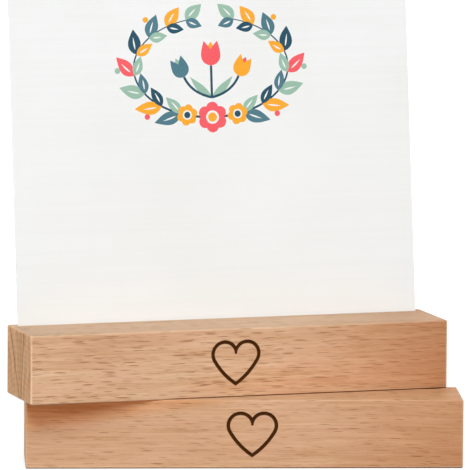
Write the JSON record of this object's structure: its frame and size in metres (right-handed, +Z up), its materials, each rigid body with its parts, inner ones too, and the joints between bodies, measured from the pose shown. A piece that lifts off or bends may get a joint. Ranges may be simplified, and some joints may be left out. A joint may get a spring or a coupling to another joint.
{
  "type": "wooden photo block holder",
  "caption": "Photo display of stacked beech blocks, each with a heart burnt into its front and a slanted slot in its top that holds a leaning print.",
  "frame": {"origin": "middle of the lower block's bottom face, where the object stands", "axes": "+Z up, +X along the lower block to the right as seen from its front, and -Y out of its front face with the heart"},
  "size_m": [0.1668, 0.0895, 0.2416],
  "materials": {
    "lower_beech": "sanded bare beech with a burnt brown line",
    "upper_beech": "sanded bare beech with a burnt brown line",
    "print_card": "smooth white card with a semi-gloss face"
  },
  "bodies": {
    "lower_holder": {"lower_block": "lower_beech"},
    "upper_holder": {"upper_block": "upper_beech"},
    "print": {"photo_print": "print_card"}
  },
  "joints": [
    {"name": "upper_block_lift", "type": "slide", "parent": "lower_holder", "child": "upper_holder", "axis": [0, 0, 1], "range_m": [0, 0.05]},
    {"name": "print_slide", "type": "slide", "parent": "upper_holder", "child": "print", "axis": [-0.0315, 0.1177, 0.9925], "range_m": [0, 0.03]}
  ]
}
